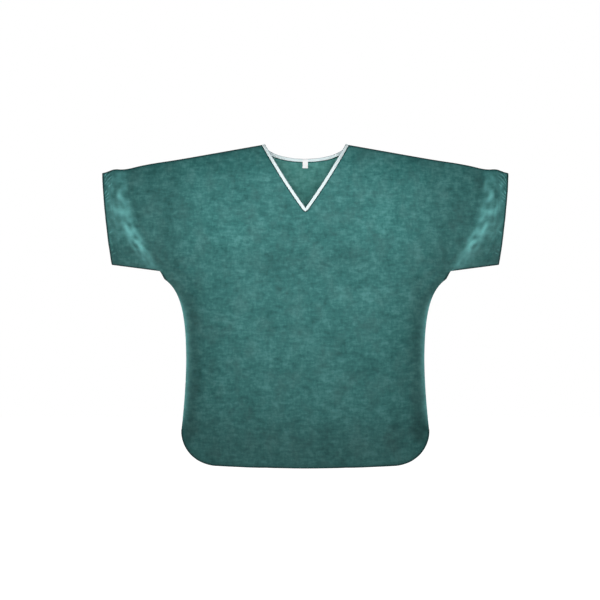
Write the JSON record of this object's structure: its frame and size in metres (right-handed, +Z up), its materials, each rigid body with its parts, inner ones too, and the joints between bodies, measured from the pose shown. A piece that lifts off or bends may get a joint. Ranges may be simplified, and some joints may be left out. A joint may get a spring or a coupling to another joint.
{
  "type": "patient gown",
  "caption": "Short V-neck patient gown shirt of thin nonwoven cloth with wide one-piece sleeves, a bound neck, a blank neck label and rounded shirt-tail hem corners.",
  "frame": {"origin": "in the neck opening, on the plane of the seams, midway between the two high shoulder points, where the gown hangs from a neck or a form", "axes": "+Z up as worn, the front faces -Y, +X towards the wearer's left sleeve"},
  "size_m": [0.934, 0.1002, 0.7412],
  "materials": {
    "cloth": "matte nonwoven",
    "seam": "matte nonwoven",
    "hem": "matte nonwoven",
    "thread": "polyester thread",
    "binding": "matte knit tape",
    "binding_thread": "polyester thread",
    "label": "satin tape"
  },
  "bodies": {
    "torso": {"front_panel": "cloth", "back_panel": "cloth", "left_side_seam": "seam", "right_side_seam": "seam", "left_shoulder_seam": "seam", "right_shoulder_seam": "seam", "front_hem": "hem", "back_hem": "hem", "front_hem_stitching": "thread", "back_hem_stitching": "thread", "left_bartack": "thread", "right_bartack": "thread", "left_front_binding": "binding", "right_front_binding": "binding", "back_binding": "binding", "left_binding_stitching": "binding_thread", "right_binding_stitching": "binding_thread", "back_binding_stitching": "binding_thread", "label_stitching": "binding_thread"},
    "left_sleeve": {"left_front_bend": "cloth", "left_back_bend": "cloth", "left_bend_seams": "seam", "left_front_sleeve": "cloth", "left_back_sleeve": "cloth", "left_sleeve_hem": "hem", "left_sleeve_stitching": "thread", "left_overarm_seam": "seam", "left_underarm_seam": "seam"},
    "right_sleeve": {"right_front_bend": "cloth", "right_back_bend": "cloth", "right_bend_seams": "seam", "right_front_sleeve": "cloth", "right_back_sleeve": "cloth", "right_sleeve_hem": "hem", "right_sleeve_stitching": "thread", "right_overarm_seam": "seam", "right_underarm_seam": "seam"},
    "label": {"size_label": "label"}
  },
  "joints": [
    {"name": "left_sleeve_swing", "type": "hinge", "parent": "torso", "child": "left_sleeve", "pos_m": [0.29, 0, -0.17], "axis": [0, 0, -1], "range_deg": [-30, 90], "deforming": ["left_front_bend", "left_back_bend", "left_bend_seams"]},
    {"name": "right_sleeve_swing", "type": "hinge", "parent": "torso", "child": "right_sleeve", "pos_m": [-0.29, 0, -0.17], "axis": [0, 0, 1], "range_deg": [-30, 90], "deforming": ["right_front_bend", "right_back_bend", "right_bend_seams"]},
    {"name": "label_flip", "type": "hinge", "parent": "torso", "child": "label", "pos_m": [0, 0.04, -0.0325], "axis": [-1, 0, 0], "range_deg": [0, 140]}
  ]
}
